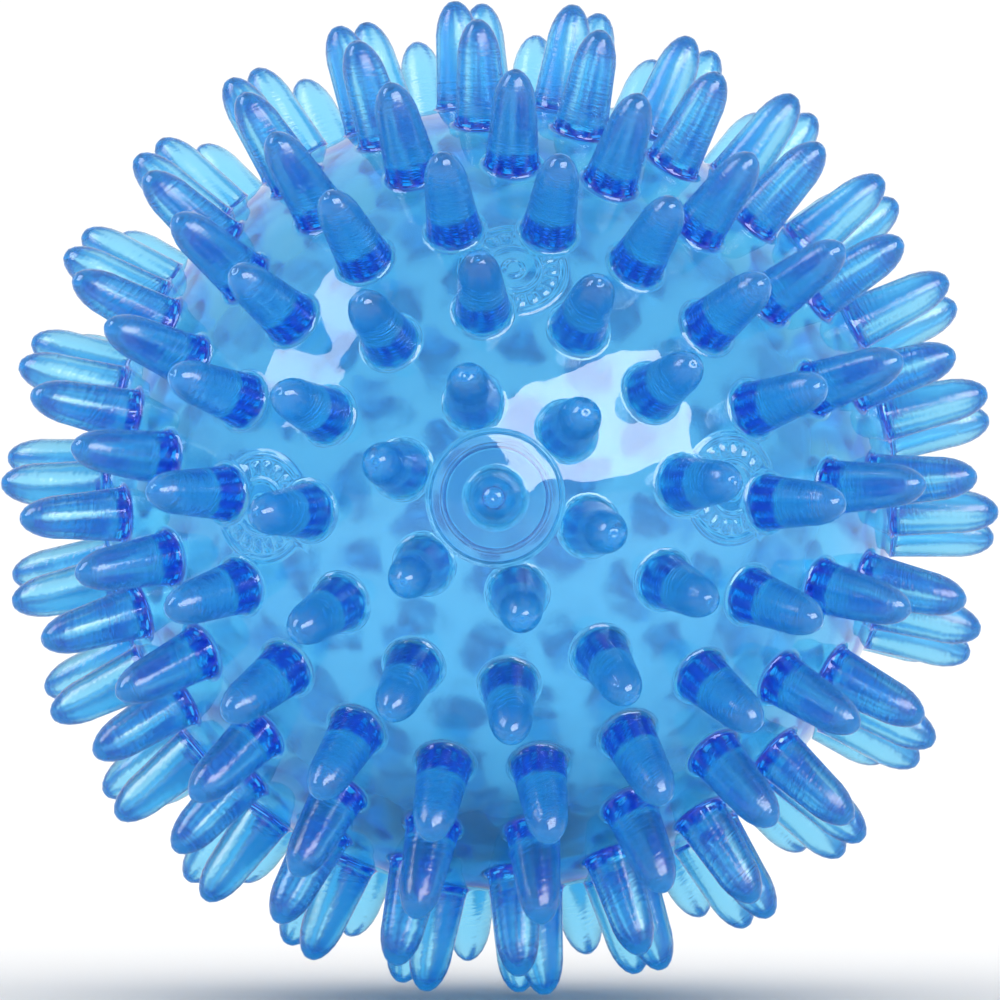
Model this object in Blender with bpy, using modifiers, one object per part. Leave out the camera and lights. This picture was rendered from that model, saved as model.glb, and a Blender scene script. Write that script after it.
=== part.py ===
"""Spiky massage ball: two half shells bonded at the equator, and a pull-out plug.

Frame: origin at the ball's centre, the plug faces -Y, +Z is up. All lengths are in metres.
Each half shell is drawn with its pole on its own +Z, then turned into place.
"""
import math

import bpy
from mathutils import Euler, Vector

# Driving dimensions
TIP_RADIUS = 0.0500         # ball centre to spike tips
BODY_RADIUS = 0.0394        # ball centre to the skin between the spikes
WALL = 0.0073               # thickness of the shell
GAP = 0.0003                # clearance between neighbouring pieces

SPIKE_BASE_RADIUS = 0.0027
SPIKE_SHOULDER_RADIUS = 0.0022
SPIKE_NOSE_LENGTH = 0.0045  # rounded end, an elliptical dome on the shoulder
SPIKE_ROOT = 0.0010         # how deep a spike starts under the skin
SPIKE_SIDES = 6
NOSE_STEPS = 2

# Rows of spikes on one half: degrees from the pole, number of spikes, clocking of the first one
SPIKE_ROWS = (
    (13.8, 6, 47.0),
    (27.4, 12, 26.0),
    (42.0, 18, 11.0),
    (56.4, 21, 2.5),
    (70.7, 24, 12.5),
    (84.9, 26, 8.6),
)
BACK_CLOCKING = math.radians(61.8)  # turn of the back half about the pole axis

PLUG_HEAD_RADIUS = 0.00625
PLUG_HEAD_DEPTH = 0.0020    # from the pole's skin down to the underside of the head
PLUG_STEM_RADIUS = 0.0049
PLUG_STEM_TAPER = 0.0004    # lead-in at the stem's inner end
PLUG_LENGTH = 0.0088        # from the pole's skin to the stem's inner end

SHELL_STEPS = 36            # facets round the pole axis
OUTER_STEPS = 9             # facets from pole to equator, outside
INNER_STEPS = 7             # facets from pole to equator, inside
PLUG_STEPS = 32

CAVITY_RADIUS = BODY_RADIUS - WALL
SPIKE_HEIGHT = TIP_RADIUS - BODY_RADIUS
BORE_RADIUS = PLUG_STEM_RADIUS + GAP
SEAT_RADIUS = PLUG_HEAD_RADIUS + GAP
SEAT_HEIGHT = BODY_RADIUS - PLUG_HEAD_DEPTH - GAP

MERGE = 0.00001


def clear_scene():
    """Start from an empty file."""
    for obj in list(bpy.data.objects):
        bpy.data.objects.remove(obj, do_unlink=True)


def new_collection(name):
    """Make a collection in the scene."""
    collection = bpy.data.collections.new(name)
    bpy.context.scene.collection.children.link(collection)
    return collection


def make_material(name, colour, roughness):
    """One Principled material for one sub-part."""
    material = bpy.data.materials.new(name)
    material.use_nodes = True
    shader = material.node_tree.nodes["Principled BSDF"]
    shader.inputs["Base Color"].default_value = (*colour, 1.0)
    shader.inputs["Roughness"].default_value = roughness
    shader.inputs["Metallic"].default_value = 0.0
    return material


def arc(radius, start, end, steps):
    """Points (r, z) on a circle about the centre, by angle from the pole."""
    angles = [start + (end - start) * i / steps for i in range(steps + 1)]
    return [(radius * math.sin(a), radius * math.cos(a)) for a in angles]


def turned(name, profile, steps, collection, closed):
    """A turned solid about +Z from a profile of (r, z) points that runs down its outer side."""
    mesh = bpy.data.meshes.new(name)
    points = [(r, 0.0, z) for r, z in profile]
    edges = [(i, i + 1) for i in range(len(points) - 1)]
    if closed:
        edges.append((len(points) - 1, 0))
    mesh.from_pydata(points, edges, [])
    obj = bpy.data.objects.new(name, mesh)
    collection.objects.link(obj)
    screw = obj.modifiers.new("turn", "SCREW")
    screw.axis = "Z"
    screw.angle = math.tau
    screw.steps = steps
    screw.render_steps = steps
    screw.use_merge_vertices = True
    screw.merge_threshold = MERGE
    return obj


def spike_profile(foot):
    """One spike's outline, from its tip (skin at z = 0) down to a foot level."""
    nose_base = SPIKE_HEIGHT - SPIKE_NOSE_LENGTH
    points = []
    for i in range(NOSE_STEPS + 1):
        angle = math.pi / 2 * i / NOSE_STEPS
        radius = SPIKE_SHOULDER_RADIUS * math.sin(angle)
        points.append((radius, nose_base + SPIKE_NOSE_LENGTH * math.cos(angle)))
    points.append((SPIKE_BASE_RADIUS, foot))
    return points


def spike_directions(with_pole):
    """Unit vectors of one half's spikes, pole on +Z, clocked clockwise from +Y."""
    directions = [Vector((0.0, 0.0, 1.0))] if with_pole else []
    for polar_degrees, count, first_degrees in SPIKE_ROWS:
        polar = math.radians(polar_degrees)
        for i in range(count):
            turn = math.radians(first_degrees) + math.tau * i / count
            x = math.sin(polar) * math.sin(turn)
            y = math.sin(polar) * math.cos(turn)
            directions.append(Vector((x, y, math.cos(polar))))
    return directions


def joined_spikes(name, directions, collection):
    """All the spikes of one half as one hidden object, for the half's union."""
    profile = spike_profile(-SPIKE_ROOT) + [(0.0, -SPIKE_ROOT)]
    pattern = turned(name + "_pattern", profile, SPIKE_SIDES, collection, closed=False)
    depsgraph = bpy.context.evaluated_depsgraph_get()
    pattern_mesh = bpy.data.meshes.new_from_object(pattern.evaluated_get(depsgraph))
    points = [v.co.copy() for v in pattern_mesh.vertices]
    faces = [tuple(p.vertices) for p in pattern_mesh.polygons]
    bpy.data.objects.remove(pattern)
    all_points = []
    all_faces = []
    for direction in directions:
        start = len(all_points)
        turn = direction.to_track_quat("Z", "Y")
        all_points += [turn @ p + direction * BODY_RADIUS for p in points]
        all_faces += [tuple(start + i for i in face) for face in faces]
    mesh = bpy.data.meshes.new(name)
    mesh.from_pydata(all_points, [], all_faces)
    spikes = bpy.data.objects.new(name, mesh)
    spikes.hide_render = True
    spikes.display_type = "WIRE"
    collection.objects.link(spikes)
    return spikes


def half_profile(with_seat):
    """Cross-section of a half shell, ending at the bonded rim just above z = 0."""
    rim = math.acos(GAP / 2 / BODY_RADIUS)
    inner_rim = math.acos(GAP / 2 / CAVITY_RADIUS)
    if not with_seat:
        return (arc(BODY_RADIUS, 0.0, rim, OUTER_STEPS)
                + arc(CAVITY_RADIUS, inner_rim, 0.0, INNER_STEPS))
    outer = arc(BODY_RADIUS, math.asin(SEAT_RADIUS / BODY_RADIUS), rim, OUTER_STEPS)
    inner = arc(CAVITY_RADIUS, inner_rim, math.asin(BORE_RADIUS / CAVITY_RADIUS), INNER_STEPS)
    return outer + inner + [(BORE_RADIUS, SEAT_HEIGHT), (SEAT_RADIUS, SEAT_HEIGHT)]


def half_shell(name, with_seat, rotation, material, parts, cutters):
    """A bowl with its spikes: with a seat and a bore for the plug, or with a spike on its pole."""
    shell = turned(name, half_profile(with_seat), SHELL_STEPS, parts, closed=with_seat)
    spikes = joined_spikes(name + "_spikes", spike_directions(not with_seat), cutters)
    union = shell.modifiers.new("spikes", "BOOLEAN")
    union.operation = "UNION"
    union.solver = "EXACT"
    union.object = spikes
    shell.rotation_euler = rotation
    spikes.rotation_euler = rotation
    shell.data.materials.append(material)
    return shell


def plug(material, parts):
    """A stopper that carries the pole's spike: domed head, and a stem through the wall."""
    edge_drop = BODY_RADIUS - math.sqrt(BODY_RADIUS ** 2 - PLUG_HEAD_RADIUS ** 2)
    profile = spike_profile(0.0)
    profile += [
        (PLUG_HEAD_RADIUS, -edge_drop),
        (PLUG_HEAD_RADIUS, -PLUG_HEAD_DEPTH),
        (PLUG_STEM_RADIUS, -PLUG_HEAD_DEPTH),
        (PLUG_STEM_RADIUS, -PLUG_LENGTH + 2 * PLUG_STEM_TAPER),
        (PLUG_STEM_RADIUS - PLUG_STEM_TAPER, -PLUG_LENGTH),
        (0.0, -PLUG_LENGTH),
    ]
    obj = turned("plug", profile, PLUG_STEPS, parts, closed=False)
    obj.location = (0.0, -BODY_RADIUS, 0.0)
    obj.rotation_euler = Euler((math.pi / 2, 0.0, 0.0))
    obj.data.materials.append(material)
    return obj


def main():
    """Build the ball."""
    clear_scene()
    parts = new_collection("massage_ball")
    cutters = new_collection("cutters")
    facing_front = Euler((math.pi / 2, 0.0, 0.0))
    facing_back = Euler((-math.pi / 2, BACK_CLOCKING, 0.0))
    front = make_material("front_vinyl", (0.03, 0.30, 0.85), 0.15)
    back = make_material("back_vinyl", (0.03, 0.27, 0.80), 0.15)
    stopper = make_material("plug_vinyl", (0.05, 0.36, 0.88), 0.15)
    half_shell("front_half", True, facing_front, front, parts, cutters)
    half_shell("back_half", False, facing_back, back, parts, cutters)
    plug(stopper, parts)


main()
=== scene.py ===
"""Looks of the spiky massage ball: one clear blue moulding for its two bonded half shells, and its plug."""
import math

import bmesh
import bpy
from mathutils import Euler, Matrix, Vector
from mathutils.geometry import delaunay_2d_cdt


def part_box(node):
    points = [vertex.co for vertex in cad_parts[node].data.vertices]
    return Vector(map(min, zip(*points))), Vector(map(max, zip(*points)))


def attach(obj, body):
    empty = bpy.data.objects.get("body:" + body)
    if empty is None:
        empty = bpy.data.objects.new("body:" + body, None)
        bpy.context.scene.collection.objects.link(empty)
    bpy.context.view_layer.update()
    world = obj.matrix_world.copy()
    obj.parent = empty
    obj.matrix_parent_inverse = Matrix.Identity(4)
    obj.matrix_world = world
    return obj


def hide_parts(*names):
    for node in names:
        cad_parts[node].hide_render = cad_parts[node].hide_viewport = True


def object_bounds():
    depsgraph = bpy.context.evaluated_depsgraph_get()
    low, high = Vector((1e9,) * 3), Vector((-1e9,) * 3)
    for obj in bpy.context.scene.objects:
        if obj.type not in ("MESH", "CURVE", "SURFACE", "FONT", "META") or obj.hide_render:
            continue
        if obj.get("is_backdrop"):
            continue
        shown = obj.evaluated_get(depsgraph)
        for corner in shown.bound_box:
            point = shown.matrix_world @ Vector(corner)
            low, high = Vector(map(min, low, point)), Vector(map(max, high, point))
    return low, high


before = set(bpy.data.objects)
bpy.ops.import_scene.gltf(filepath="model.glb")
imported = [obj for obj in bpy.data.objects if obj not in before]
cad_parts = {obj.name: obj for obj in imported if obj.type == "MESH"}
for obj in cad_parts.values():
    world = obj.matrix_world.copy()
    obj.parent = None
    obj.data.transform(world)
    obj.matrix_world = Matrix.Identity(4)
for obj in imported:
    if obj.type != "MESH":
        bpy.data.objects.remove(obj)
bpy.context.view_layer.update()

PLUG_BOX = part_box("plug")

# Sizes from the frame: the plug reaches from its spike's tip to its stem's end, along Y
TIP_RADIUS = -PLUG_BOX[0].y
PLUG_END = -PLUG_BOX[1].y
PLUG_HEAD_RADIUS = (PLUG_BOX[1].x - PLUG_BOX[0].x) / 2

# Sizes in metres
BODY_RADIUS = 0.788 * TIP_RADIUS    # skin between the spikes
CAVITY_RADIUS = 0.642 * TIP_RADIUS
GAP = 0.0001                        # between the plug and its seat
SPIKE_BASE_RADIUS = 0.0027
SPIKE_SHOULDER_RADIUS = 0.0022
SPIKE_NOSE_LENGTH = 0.0045
SPIKE_FOOT_RADIUS = 0.0033          # where the root fillet meets the skin
FILLET_HEIGHT = 0.0010
DIMPLE = ((0.00013, 0.00016), (0.00027, 0.00007))    # (radius, depth) at a spike's tip
STEP_WIDTH = 0.00012                # witness line of the mould round each foot
STEP_HEIGHT = 0.00006
PLUG_STEM_RADIUS = 0.0049
PLUG_HEAD_DEPTH = 0.0020
PLUG_HEAD_RINGS = (0.0040, 0.0047, 0.0054)
STEM_CHAMFER = (0.0004, 0.0008)     # across and along the stem's end
STEM_FACE_RADIUS = 0.0020           # innermost ring of the stem's flat end
BORE_FLARE = 0.0008                 # ring of the hollow's wall next to the bore
LEDGE_WIDTH = 0.0004                # shallow ledge round the plug's seat
LEDGE_DROP = 0.0001
LEDGE_MARGIN = 0.00008              # level ring outside the ledge, so that the skin's shading stays even
EDGE_ROUND = 0.00015
SEAT_EDGE_RADIUS = PLUG_HEAD_RADIUS + GAP + LEDGE_WIDTH
FOOT_CLEARANCE = 0.00005            # between a spike's foot and the edge of the plug's seat
PINCH_STEP = 0.00002                # how finely a foot is pinched to keep that clearance

# Rows of spikes on one half: degrees from the pole, number of spikes, clocking of the first one
SPIKE_ROWS = (
    (13.8, 6, 47.0),
    (27.4, 12, 26.0),
    (42.0, 18, 11.0),
    (56.4, 21, 2.5),
    (70.7, 24, 12.5),
    (84.9, 26, 8.6),
)
BACK_CLOCKING = math.radians(61.8)

# Moulded marks on the front: degrees from the pole, clocking, radius
MARKS = (
    (34.4, 4.3, 0.0050),
    (35.5, 87.6, 0.0051),
    (35.5, 267.8, 0.0051),
    (18.6, 310.3, 0.0013),
)
MARK_REACH = 1.15                   # of its radius
NEAR_MARK = 0.98                    # cosine under which a skin point is clear of a mark
PLAIN_MARK_RADIUS = 0.003           # a mark this small has only its rim
MARK_BARS = 18
MARK_HEIGHT = 0.035                 # of its radius

# How clear the vinyl is, and how it bends light
TRANSMISSION = 0.98
IOR = 1.5

# The vinyl's dye: what it lets through, and how fast colour builds up, per metre
DYE = (0.0, 0.79, 0.985)
DYE_DENSITY = 110.0

# Finish by distance from the centre: the stem's end, the hollow's wall, the skin, a spike's root and side
WALL_AT = CAVITY_RADIUS + 0.0003
SKIN_AT = BODY_RADIUS + 0.0004
ROOT_AT = BODY_RADIUS + 0.0014
NOSE_AT = TIP_RADIUS - 0.0012
SKIN_TINT = (0.66, 0.825, 0.95)
SPIKE_TINT = (0.39, 0.76, 0.97)
ROUGHNESS = ((PLUG_END, 0.24), (WALL_AT, 0.12), (BODY_RADIUS - 0.0020, 0.03), (SKIN_AT, 0.03), (ROOT_AT, 0.20),
             (NOSE_AT, 0.20), (TIP_RADIUS, 0.05))
GRAIN = ((WALL_AT, 0.05), (SKIN_AT, 0.05), (ROOT_AT, 1.0), (NOSE_AT, 1.0), (TIP_RADIUS, 0.0))
TINT = ((WALL_AT, SKIN_TINT), (SKIN_AT, SKIN_TINT), (ROOT_AT, SPIKE_TINT), (TIP_RADIUS, SPIKE_TINT))

# Mould texture: fine grain drawn out into rings round each spike
GRAIN_SCALE = 1050.0
RING_STRETCH = 1.6
GRAIN_DEPTH = 0.00007
WAVE_SCALE = 170.0                  # the skin isn't quite true: slow waves in it
WAVE_DEPTH = 0.0002

# Mesh densities
NOSE_STEPS = 6
SIDE_STEPS = 2
FILLET_STEPS = 4
HOLLOW_STEPS = 44
SPIKE_SEGMENTS = 24
LATHE_SEGMENTS = 96
EQUATOR_SEGMENTS = 240
SKIN_SPACING = 0.00125
MARK_SPACING = 0.00024
MARK_MARGIN = 0.0008
WELD = 0.000002
FLAT_EPSILON = 0.0000001

# The surroundings, by cosine from the backdrop's middle: dim round the camera, white behind the ball
BACKDROP_SIDE = (0.0, 0.97, 0.24)
BACKDROP = ((-0.3, 0.58), (0.3, 0.70), (0.80, 0.82), (0.96, 1.0))
BACKDROP_STRENGTH = 1.05
FLOOR_FILL_ANGLE = math.radians(110)
FLOOR_FILL = 2.0                    # overhead light that only the floor takes up

# The floor: its two tones, and a painted shadow round the ball: a soft darker pool that fades out between two
# radii
FLOOR_SIZE = 30.0
FLOOR_DROP = 0.0002                 # below the lowest spike
FLOOR_TONES = ((0.83, 0.835, 0.84, 1.0), (0.86, 0.86, 0.865, 1.0))
MOTTLE_SCALE = 3.0
PAINTED_SHADOW_RADII = (0.04, 0.30)
PAINTED_SHADOW_TONE = 0.85

# Light bounces: enough to cross the wall and the spikes many times
CLEAR_BOUNCES = 24
GLOSS_BOUNCES = 16

# The camera: level, a metre away and almost in line with the plug
CAMERA_DISTANCE = 20 * TIP_RADIUS
CAMERA_OFF_AXIS = math.radians(0.65)
CAMERA_DROP = 0.0042 * TIP_RADIUS
SENSOR_WIDTH = 36.0
LENS = 359.5

FRONT_TURN = Euler((math.pi / 2, 0.0, 0.0)).to_matrix()
BACK_TURN = Euler((-math.pi / 2, BACK_CLOCKING, 0.0)).to_matrix()


# ---------------------------------------------------------------- directions

POLE = Vector((0.0, -1.0, 0.0))
POLE_AXES = (Vector((1.0, 0.0, 0.0)), Vector((0.0, 0.0, 1.0)))


def pole_direction(polar_degrees, turn):
    """Unit vector at an angle from the pole +Z, clocked clockwise from +Y."""
    polar = math.radians(polar_degrees)
    return Vector((math.sin(polar) * math.sin(turn), math.sin(polar) * math.cos(turn), math.cos(polar)))


def spike_directions():
    """Unit vectors of every spike that the shell carries."""
    found = [Vector((0.0, 1.0, 0.0))]
    for half_turn in (FRONT_TURN, BACK_TURN):
        for polar_degrees, count, first_degrees in SPIKE_ROWS:
            for i in range(count):
                turn = math.radians(first_degrees) + math.tau * i / count
                found.append(half_turn @ pole_direction(polar_degrees, turn))
    return found


def side_axes(direction):
    """Two unit vectors across a direction."""
    turn = direction.to_track_quat("Z", "Y")
    return turn @ Vector((1.0, 0.0, 0.0)), turn @ Vector((0.0, 1.0, 0.0))


def skin_height(radius):
    """Distance along a spike's or the plug's axis to the ball's skin, at a distance from that axis."""
    return math.sqrt(BODY_RADIUS ** 2 - radius ** 2)


def ring(direction, radius, height, count, axes):
    """Points round a direction, at a distance from its line and at a distance from the centre plane."""
    u, v = axes
    angles = [math.tau * i / count for i in range(count)]
    return [direction * height + (u * math.cos(a) + v * math.sin(a)) * radius for a in angles]


# ---------------------------------------------------------------- relief of the moulded marks

def smooth_step(low, high, value):
    """0 below low, 1 above high, smooth between."""
    t = min(max((value - low) / (high - low), 0.0), 1.0)
    return t * t * (3 - 2 * t)


def bump(value, centre, half_width):
    """A smooth ridge across a line."""
    t = min(abs(value - centre) / half_width, 1.0)
    return (1 - t * t) ** 2


def mark_frames():
    """Centre direction, side axes and radius of each mark."""
    frames = []
    for polar_degrees, turn_degrees, radius in MARKS:
        direction = FRONT_TURN @ pole_direction(polar_degrees, math.radians(turn_degrees))
        up = Vector((0.0, 0.0, 1.0))
        v = (up - direction * up.dot(direction)).normalized()
        frames.append((direction, v.cross(direction), v, radius))
    return frames


MARK_FRAMES = mark_frames()


def mark_relief(point):
    """How far a mark raises a skin point: a rim, a ring of short bars and a middle button."""
    relief = 0.0
    for direction, u, v, radius in MARK_FRAMES:
        if point.dot(direction) < BODY_RADIUS * NEAR_MARK:
            continue
        x, y = point.dot(u), point.dot(v)
        out = math.hypot(x, y) / radius
        if out > MARK_REACH:
            continue
        height = bump(out, 1.0, 0.06)
        if radius > PLAIN_MARK_RADIUS:
            bars = smooth_step(0.25, 0.75, math.cos(MARK_BARS * math.atan2(y, x)) * 0.5 + 0.5)
            band = smooth_step(0.62, 0.66, out) * (1 - smooth_step(0.82, 0.86, out))
            height = max(height, bars * band, 0.8 * bump(out, 0.52, 0.05))
            height = max(height, 1 - smooth_step(0.16, 0.22, out))
        relief = max(relief, height * MARK_HEIGHT * radius)
    return relief


# ---------------------------------------------------------------- profiles

def spike_rows(foot_radius=SPIKE_FOOT_RADIUS):
    """(radius, distance from the centre) down one side of a spike, from under its tip to the skin."""
    nose_base = TIP_RADIUS - SPIKE_NOSE_LENGTH
    rows = [(r, TIP_RADIUS - depth) for r, depth in DIMPLE]
    for i in range(1, NOSE_STEPS + 1):
        a = math.pi / 2 * i / NOSE_STEPS
        rows.append((SPIKE_SHOULDER_RADIUS * math.sin(a), nose_base + SPIKE_NOSE_LENGTH * math.cos(a)))
    fillet_top = BODY_RADIUS + FILLET_HEIGHT
    taper = (SPIKE_BASE_RADIUS - SPIKE_SHOULDER_RADIUS) / (nose_base - BODY_RADIUS)
    for i in range(1, SIDE_STEPS + 1):
        z = nose_base + (fillet_top - nose_base) * i / SIDE_STEPS
        rows.append((SPIKE_SHOULDER_RADIUS + taper * (nose_base - z), z))
    return rows + root_fillet(rows[-1], taper, foot_radius)


def root_fillet(top, taper, foot_radius):
    """Quarter-round root: leaves the spike's side, runs out level and drops to the skin by a fine step."""
    room = (foot_radius - SPIKE_BASE_RADIUS) / (SPIKE_FOOT_RADIUS - SPIKE_BASE_RADIUS)
    step = STEP_WIDTH * room
    end_r = foot_radius - 2 * step
    end_z = skin_height(end_r) + STEP_HEIGHT * room
    corner_r = min(top[0] + taper * FILLET_HEIGHT, end_r)
    corner_z = end_z + (end_r - corner_r) * end_r / end_z
    rows = []
    for i in range(1, FILLET_STEPS + 1):
        t = i / FILLET_STEPS
        r = (1 - t) ** 2 * top[0] + 2 * t * (1 - t) * corner_r + t * t * end_r
        z = (1 - t) ** 2 * top[1] + 2 * t * (1 - t) * corner_z + t * t * end_z
        rows.append((r, z))
    for r in (end_r + step, foot_radius):
        rows.append((r, skin_height(r)))
    return rows


def rounded(points, radius, steps=4):
    """An open profile with its inner corners rounded."""
    last = len(points) - 1
    result = [points[0]]
    for k in range(1, last):
        before, corner, after = (Vector(points[i]) for i in (k - 1, k, k + 1))
        room_before = (before - corner).length * (1.0 if k == 1 else 0.5)
        room_after = (after - corner).length * (1.0 if k + 1 == last else 0.5)
        start = corner + (before - corner).normalized() * min(radius, room_before)
        end = corner + (after - corner).normalized() * min(radius, room_after)
        for i in range(steps + 1):
            t = i / steps
            result.append(tuple(start * (1 - t) ** 2 + corner * (2 * t * (1 - t)) + end * t * t))
    return result + [points[-1]]


# ---------------------------------------------------------------- mesh building

class Skin:
    """Vertices and faces, gathered piece by piece and welded at the end."""

    def __init__(self):
        self.points = []
        self.faces = []

    def add(self, points, faces):
        """Add loose geometry."""
        start = len(self.points)
        self.points += points
        self.faces += [tuple(start + i for i in face) for face in faces]

    def add_rings(self, rings, first_tip=None, last_tip=None):
        """Bridge a run of rings, closing either end on a tip."""
        count = len(rings[0])
        points = [p for r in rings for p in r]
        faces = []
        for k in range(len(rings) - 1):
            for i in range(count):
                j = (i + 1) % count
                faces.append((k * count + i, k * count + j, (k + 1) * count + j, (k + 1) * count + i))
        for tip, base in ((first_tip, 0), (last_tip, (len(rings) - 1) * count)):
            if tip is not None:
                points.append(tip)
                apex = len(points) - 1
                faces += [(base + i, base + (i + 1) % count, apex) for i in range(count)]
        self.add(points, faces)

    def build(self, name, material):
        """One closed, smooth mesh object."""
        mesh = bpy.data.meshes.new(name)
        mesh.from_pydata(self.points, [], self.faces)
        made = bmesh.new()
        made.from_mesh(mesh)
        bmesh.ops.remove_doubles(made, verts=made.verts, dist=WELD)
        bmesh.ops.recalc_face_normals(made, faces=made.faces)
        made.to_mesh(mesh)
        made.free()
        mesh.shade_smooth()
        mesh.materials.append(material)
        obj = bpy.data.objects.new(name, mesh)
        bpy.context.scene.collection.objects.link(obj)
        return obj


def flat_map(point):
    """Stereographic map of a half sphere onto a disc, seen along Y."""
    scale = 1 / (BODY_RADIUS + abs(point.y))
    return Vector((point.x * scale, point.z * scale))


def sphere_points(radius, spacing):
    """Evenly spread points on a sphere."""
    count = int(4 * math.pi * radius ** 2 / (0.866 * spacing ** 2))
    golden = math.pi * (3 - math.sqrt(5))
    points = []
    for i in range(count):
        y = 1 - 2 * (i + 0.5) / count
        r = math.sqrt(1 - y * y)
        points.append(Vector((r * math.cos(golden * i), y, r * math.sin(golden * i))) * radius)
    return points


def mark_points():
    """Close-set skin points over the marks."""
    points = []
    for direction, u, v, radius in MARK_FRAMES:
        rows = int(radius * MARK_REACH / MARK_SPACING)
        for k in range(1, rows + 1):
            r = k * MARK_SPACING
            points += ring(direction, r, skin_height(r), max(6, int(math.tau * r / MARK_SPACING)), (u, v))
    return points


def outer_skin(skin, holes, equator):
    """The ball's skin round the spikes' feet and the seat, each half by a constrained triangulation."""
    for side in (-1, 1):
        points = list(equator)
        edges = [(i, (i + 1) % len(equator)) for i in range(len(equator))]
        outlines = []
        keep_out = []
        for direction, outline, radius in holes:
            if direction.y * side > 0:
                outlines.append(hole_face(outline, len(points)))
                points += outline
                keep_out.append((direction, radius))
        points += skin_grid(side, keep_out)
        flat = [flat_map(p) for p in points]
        verts, _, faces, origins, _, inside = delaunay_2d_cdt(flat, edges, outlines, 0, FLAT_EPSILON)
        placed = [points[origin[0]] if origin else unflatten(v, side) for v, origin in zip(verts, origins)]
        skin.add(placed, [tuple(face) for face, covers in zip(faces, inside) if not covers])


def hole_face(outline, start):
    """Indices of an outline, anticlockwise on the flat map."""
    flat = [flat_map(p) for p in outline]
    area = sum(a.x * b.y - b.x * a.y for a, b in zip(flat, flat[1:] + flat[:1]))
    indices = [start + i for i in range(len(outline))]
    return indices if area > 0 else indices[::-1]


def skin_grid(side, keep_out):
    """Points of one half's skin, denser over the marks, clear of the equator and of the holes."""
    marked = [(direction, radius) for direction, u, v, radius in MARK_FRAMES] if side < 0 else []
    grid = []
    for p in sphere_points(BODY_RADIUS, SKIN_SPACING):
        off_equator = p.y * side > SKIN_SPACING * 0.5
        if off_equator and clear_of(p, keep_out, SKIN_SPACING * 0.5) and clear_of(p, marked, MARK_MARGIN):
            grid.append(p)
    if side < 0:
        grid += [p for p in mark_points() if clear_of(p, keep_out, MARK_SPACING * 0.6)]
    return grid


def unflatten(v, side):
    """Back from the disc onto the sphere."""
    q = v.x * v.x + v.y * v.y
    return Vector((2 * v.x, side * (1 - q), 2 * v.y)) * (BODY_RADIUS / (1 + q))


def clear_of(point, centres, margin):
    """True if a skin point is outside every circle."""
    for direction, radius in centres:
        if point.dot(direction) > 0 and (point - direction * point.dot(direction)).length < radius + margin:
            return False
    return True


def foot_clearance(direction, side):
    """A foot's radius towards one side: full, or pinched where the plug's seat is in the way."""
    radius = SPIKE_FOOT_RADIUS
    while radius > SPIKE_BASE_RADIUS:
        foot = direction * skin_height(radius) + side * radius
        if foot.y > 0 or math.hypot(foot.x, foot.z) > SEAT_EDGE_RADIUS + FOOT_CLEARANCE:
            break
        radius -= PINCH_STEP
    return radius


def spike(skin, direction):
    """One spike with its root fillet; returns its foot's outline for the skin to meet."""
    u, v = side_axes(direction)
    columns = []
    for i in range(SPIKE_SEGMENTS):
        a = math.tau * i / SPIKE_SEGMENTS
        side = u * math.cos(a) + v * math.sin(a)
        rows = spike_rows(foot_clearance(direction, side))
        columns.append([direction * z + side * r for r, z in rows])
    rings = [list(r) for r in zip(*columns)]
    skin.add_rings(rings, first_tip=direction * (TIP_RADIUS - DIMPLE[0][1]))
    return rings[-1]


def seat_and_cavity(skin):
    """The plug's seat, its bore through the wall, and the hollow inside; returns the seat's outer circle."""
    ledge_radius = SEAT_EDGE_RADIUS - LEDGE_MARGIN
    seat_radius = PLUG_HEAD_RADIUS + GAP
    bore_radius = PLUG_STEM_RADIUS + GAP
    flare_radius = bore_radius + BORE_FLARE
    profile = rounded([
        (SEAT_EDGE_RADIUS, skin_height(SEAT_EDGE_RADIUS)),
        (ledge_radius, skin_height(ledge_radius)),
        (ledge_radius - LEDGE_DROP, skin_height(ledge_radius) - LEDGE_DROP),
        (seat_radius, skin_height(seat_radius) - LEDGE_DROP),
        (seat_radius, BODY_RADIUS - PLUG_HEAD_DEPTH - GAP),
        (bore_radius, BODY_RADIUS - PLUG_HEAD_DEPTH - GAP),
        (bore_radius, math.sqrt(CAVITY_RADIUS ** 2 - bore_radius ** 2)),
        (flare_radius, math.sqrt(CAVITY_RADIUS ** 2 - flare_radius ** 2)),
    ], EDGE_ROUND)
    walls = [ring(POLE, r, z, LATHE_SEGMENTS, POLE_AXES) for r, z in profile]
    skin.add_rings(walls)
    start = math.asin(profile[-1][0] / CAVITY_RADIUS)
    angles = [start + (math.pi - start) * i / HOLLOW_STEPS for i in range(HOLLOW_STEPS)]
    arc = [(CAVITY_RADIUS * math.sin(a), CAVITY_RADIUS * math.cos(a)) for a in angles]
    hollow = [ring(POLE, r, z, LATHE_SEGMENTS, POLE_AXES) for r, z in arc]
    skin.add_rings(hollow, last_tip=-POLE * CAVITY_RADIUS)
    return walls[0]


def make_shell(material):
    """Both bonded half shells as one clear moulding."""
    skin = Skin()
    holes = [(d, spike(skin, d), SPIKE_FOOT_RADIUS) for d in spike_directions()]
    holes.append((POLE, seat_and_cavity(skin), SEAT_EDGE_RADIUS))
    outer_skin(skin, holes, ring(POLE, BODY_RADIUS, 0.0, EQUATOR_SEGMENTS, POLE_AXES))
    for i, p in enumerate(skin.points):
        if abs(p.length - BODY_RADIUS) < WELD:
            skin.points[i] = p * (1 + mark_relief(p) / BODY_RADIUS)
    return skin.build("ball_shell", material)


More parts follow.
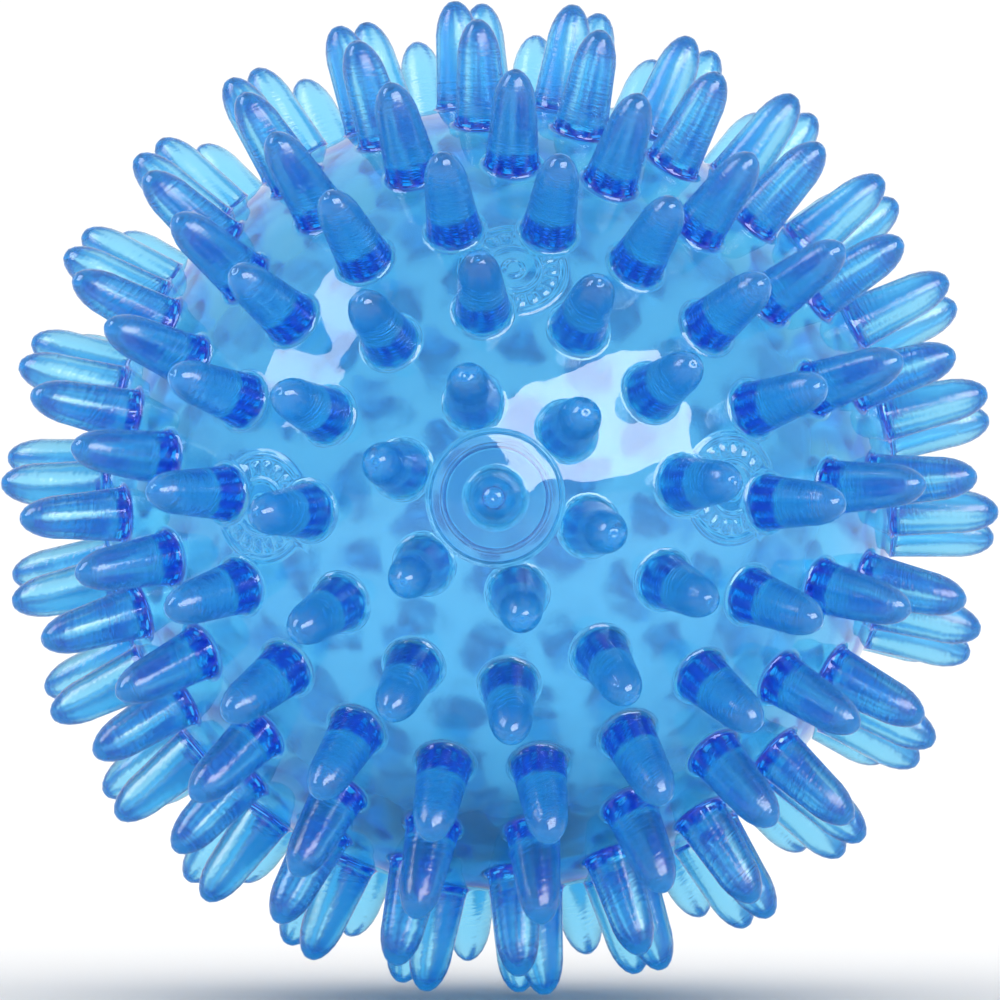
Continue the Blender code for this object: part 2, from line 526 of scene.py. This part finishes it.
def make_plug(material):
    """The stopper: the pole's spike on a domed head, and the stem through the wall."""
    head = [(r, skin_height(r)) for r in PLUG_HEAD_RINGS]
    side = rounded([
        head[-1],
        (PLUG_HEAD_RADIUS, skin_height(PLUG_HEAD_RADIUS)),
        (PLUG_HEAD_RADIUS, BODY_RADIUS - PLUG_HEAD_DEPTH),
        (PLUG_STEM_RADIUS, BODY_RADIUS - PLUG_HEAD_DEPTH),
        (PLUG_STEM_RADIUS, PLUG_END + STEM_CHAMFER[1]),
        (PLUG_STEM_RADIUS - STEM_CHAMFER[0], PLUG_END),
        (STEM_FACE_RADIUS, PLUG_END),
    ], EDGE_ROUND)
    profile = spike_rows() + head[:-1] + side
    rings = [ring(POLE, r, z, LATHE_SEGMENTS, POLE_AXES) for r, z in profile]
    skin = Skin()
    skin.add_rings(rings, first_tip=POLE * (TIP_RADIUS - DIMPLE[0][1]), last_tip=POLE * PLUG_END)
    return skin.build("plug_stopper", material)


# ---------------------------------------------------------------- materials

def by_distance(nodes, links, distance, stops):
    """A colour or value that changes with the distance from the ball's centre."""
    low, high = stops[0][0], stops[-1][0]
    place = nodes.new("ShaderNodeMapRange")
    place.inputs["From Min"].default_value = low
    place.inputs["From Max"].default_value = high
    links.new(distance, place.inputs["Value"])
    ramp = nodes.new("ShaderNodeValToRGB")
    while len(ramp.color_ramp.elements) < len(stops):
        ramp.color_ramp.elements.new(0.5)
    for element, (at, value) in zip(ramp.color_ramp.elements, stops):
        element.position = (at - low) / (high - low)
        element.color = (*value, 1.0) if isinstance(value, tuple) else (value, value, value, 1.0)
    links.new(place.outputs["Result"], ramp.inputs["Fac"])
    return ramp.outputs["Color"]


def noise_bump(nodes, links, place, scale, detail, depth):
    """A bump node fed by noise at a place."""
    noise = nodes.new("ShaderNodeTexNoise")
    noise.inputs["Scale"].default_value = scale
    noise.inputs["Detail"].default_value = detail
    links.new(place, noise.inputs["Vector"])
    lift = nodes.new("ShaderNodeBump")
    lift.inputs["Distance"].default_value = depth
    links.new(noise.outputs["Fac"], lift.inputs["Height"])
    return lift


def ringed_place(nodes, links, place, distance):
    """Coordinates that run on faster along a spike than across it, which draws noise out into rings."""
    rings = nodes.new("ShaderNodeMath")
    rings.operation = "MULTIPLY"
    rings.inputs[1].default_value = RING_STRETCH
    links.new(distance, rings.inputs[0])
    ringed = nodes.new("ShaderNodeVectorMath")
    ringed.operation = "ADD"
    links.new(place, ringed.inputs[0])
    links.new(rings.outputs["Value"], ringed.inputs[1])
    return ringed.outputs["Vector"]


def clear_vinyl(name):
    """Clear blue vinyl: polished skin and tips, matt grain on the spikes, dye that deepens with thickness."""
    material = bpy.data.materials.new(name)
    material.use_nodes = True
    nodes, links = material.node_tree.nodes, material.node_tree.links
    shader = nodes["Principled BSDF"]
    shader.inputs["Transmission Weight"].default_value = TRANSMISSION
    shader.inputs["IOR"].default_value = IOR
    place = nodes.new("ShaderNodeTexCoord").outputs["Object"]
    length = nodes.new("ShaderNodeVectorMath")
    length.operation = "LENGTH"
    links.new(place, length.inputs[0])
    distance = length.outputs["Value"]
    waves = noise_bump(nodes, links, place, WAVE_SCALE, 1.0, WAVE_DEPTH)
    ringed = ringed_place(nodes, links, place, distance)
    grain = noise_bump(nodes, links, ringed, GRAIN_SCALE, 2.0, GRAIN_DEPTH)
    links.new(by_distance(nodes, links, distance, GRAIN), grain.inputs["Strength"])
    links.new(waves.outputs["Normal"], grain.inputs["Normal"])
    links.new(grain.outputs["Normal"], shader.inputs["Normal"])
    links.new(by_distance(nodes, links, distance, ROUGHNESS), shader.inputs["Roughness"])
    links.new(by_distance(nodes, links, distance, TINT), shader.inputs["Base Color"])
    depth = nodes.new("ShaderNodeVolumeAbsorption")
    depth.inputs["Color"].default_value = (*DYE, 1.0)
    depth.inputs["Density"].default_value = DYE_DENSITY
    links.new(depth.outputs["Volume"], nodes["Material Output"].inputs["Volume"])
    return material


def floor_material():
    """Plain pale floor with a trace of mottling, and a painted shadow that makes it a little darker close
    round the ball.
    """
    material = bpy.data.materials.new("pale_floor")
    material.use_nodes = True
    nodes, links = material.node_tree.nodes, material.node_tree.links
    coordinates = nodes.new("ShaderNodeTexCoord")
    distance = nodes.new("ShaderNodeVectorMath")
    distance.operation = "LENGTH"
    links.new(coordinates.outputs["Object"], distance.inputs[0])
    # Painted shadow: the floor's colour is darkened in a soft pool round the ball
    painted_shadow = nodes.new("ShaderNodeMapRange")
    painted_shadow.interpolation_type = "SMOOTHSTEP"
    painted_shadow.inputs["From Min"].default_value = PAINTED_SHADOW_RADII[0]
    painted_shadow.inputs["From Max"].default_value = PAINTED_SHADOW_RADII[1]
    painted_shadow.inputs["To Min"].default_value = PAINTED_SHADOW_TONE
    links.new(distance.outputs["Value"], painted_shadow.inputs["Value"])
    noise = nodes.new("ShaderNodeTexNoise")
    noise.inputs["Scale"].default_value = MOTTLE_SCALE
    ramp = nodes.new("ShaderNodeValToRGB")
    for element, tone in zip(ramp.color_ramp.elements, FLOOR_TONES):
        element.color = tone
    links.new(noise.outputs["Fac"], ramp.inputs["Fac"])
    shaded = nodes.new("ShaderNodeVectorMath")
    shaded.operation = "MULTIPLY"
    links.new(ramp.outputs["Color"], shaded.inputs[0])
    links.new(painted_shadow.outputs["Result"], shaded.inputs[1])
    links.new(shaded.outputs["Vector"], nodes["Principled BSDF"].inputs["Base Color"])
    nodes["Principled BSDF"].inputs["Roughness"].default_value = 0.8
    return material


# ---------------------------------------------------------------- stage

def make_floor(level):
    """A wide level floor under the ball."""
    bpy.ops.mesh.primitive_plane_add(size=FLOOR_SIZE, location=(0.0, 0.0, level))
    floor = bpy.context.object
    floor.name = "floor"
    floor.data.materials.append(floor_material())
    floor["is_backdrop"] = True


def soft_light(name, azimuth, elevation, distance, size, watts, colour, roll=0.0):
    """A soft box that shows only as gloss on the ball, aimed at it. Azimuth 0 is in front, 90 on the right."""
    a, e = math.radians(azimuth), math.radians(elevation)
    place = Vector((math.sin(a) * math.cos(e), -math.cos(a) * math.cos(e), math.sin(e))) * distance
    data = bpy.data.lights.new(name, "AREA")
    data.shape = "RECTANGLE"
    data.size, data.size_y = size
    data.energy = watts
    data.color = colour
    lamp = bpy.data.objects.new(name, data)
    turn = place.to_track_quat("Z", "Y").to_matrix() @ Matrix.Rotation(math.radians(roll), 3, "Z")
    lamp.matrix_world = Matrix.Translation(place) @ turn.to_4x4()
    lamp.visible_camera = False
    lamp.visible_diffuse = False
    lamp.visible_transmission = False
    bpy.context.scene.collection.objects.link(lamp)


def make_world():
    """Surroundings that are white behind the ball, and dimmer at its sides and round the camera."""
    world = bpy.data.worlds.new("studio")
    world.use_nodes = True
    world.cycles.sampling_method = "NONE"
    bpy.context.scene.world = world
    nodes, links = world.node_tree.nodes, world.node_tree.links
    coordinates = nodes.new("ShaderNodeTexCoord")
    facing = nodes.new("ShaderNodeVectorMath")
    facing.operation = "DOT_PRODUCT"
    facing.inputs[1].default_value = BACKDROP_SIDE
    links.new(coordinates.outputs["Generated"], facing.inputs[0])
    place = nodes.new("ShaderNodeMapRange")
    place.inputs["From Min"].default_value = -1.0
    links.new(facing.outputs["Value"], place.inputs["Value"])
    ramp = nodes.new("ShaderNodeValToRGB")
    while len(ramp.color_ramp.elements) < len(BACKDROP):
        ramp.color_ramp.elements.new(0.5)
    for element, (cosine, grey) in zip(ramp.color_ramp.elements, BACKDROP):
        element.position = (cosine + 1) / 2
        element.color = (grey, grey, grey, 1.0)
    links.new(place.outputs["Result"], ramp.inputs["Fac"])
    links.new(ramp.outputs["Color"], nodes["Background"].inputs["Color"])
    nodes["Background"].inputs["Strength"].default_value = BACKDROP_STRENGTH


def make_floor_fill():
    """Wide light from straight above that keeps the floor pale and doesn't show in the ball."""
    data = bpy.data.lights.new("floor_fill", "SUN")
    data.energy = FLOOR_FILL
    data.angle = FLOOR_FILL_ANGLE
    lamp = bpy.data.objects.new("floor_fill", data)
    lamp.visible_glossy = False
    lamp.visible_transmission = False
    bpy.context.scene.collection.objects.link(lamp)


def make_camera():
    """Level with the ball's centre and almost in line with the plug, from a metre away."""
    data = bpy.data.cameras.new("camera")
    data.sensor_width = SENSOR_WIDTH
    data.lens = LENS
    camera = bpy.data.objects.new("camera", data)
    aim = Vector((0.0, 0.0, -CAMERA_DROP))
    place = Vector((math.sin(CAMERA_OFF_AXIS), -math.cos(CAMERA_OFF_AXIS), 0.0)) * CAMERA_DISTANCE + aim
    camera.location = place
    camera.rotation_euler = (place - aim).to_track_quat("Z", "Y").to_euler()
    bpy.context.scene.collection.objects.link(camera)
    bpy.context.scene.camera = camera


# ---------------------------------------------------------------- scene

shell_vinyl = clear_vinyl("blue_vinyl")
plug_vinyl = clear_vinyl("blue_vinyl_plug")

shell = make_shell(shell_vinyl)
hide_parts("front_half", "back_half")
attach(shell, "ball")

stopper = make_plug(plug_vinyl)
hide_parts("plug")
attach(stopper, "stopper")

make_camera()
make_world()
make_floor_fill()
make_floor(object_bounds()[0].z - FLOOR_DROP)
soft_light("key", 29, 21, 0.6, (0.62, 0.32), 6.0, (1.0, 0.97, 0.96), roll=15)
soft_light("left", -66, 37, 0.7, (0.3, 0.5), 3.0, (1.0, 0.97, 0.97))

scene = bpy.context.scene
scene.view_settings.view_transform = "Standard"
scene.cycles.max_bounces = CLEAR_BOUNCES
scene.cycles.transmission_bounces = CLEAR_BOUNCES
scene.cycles.glossy_bounces = GLOSS_BOUNCES
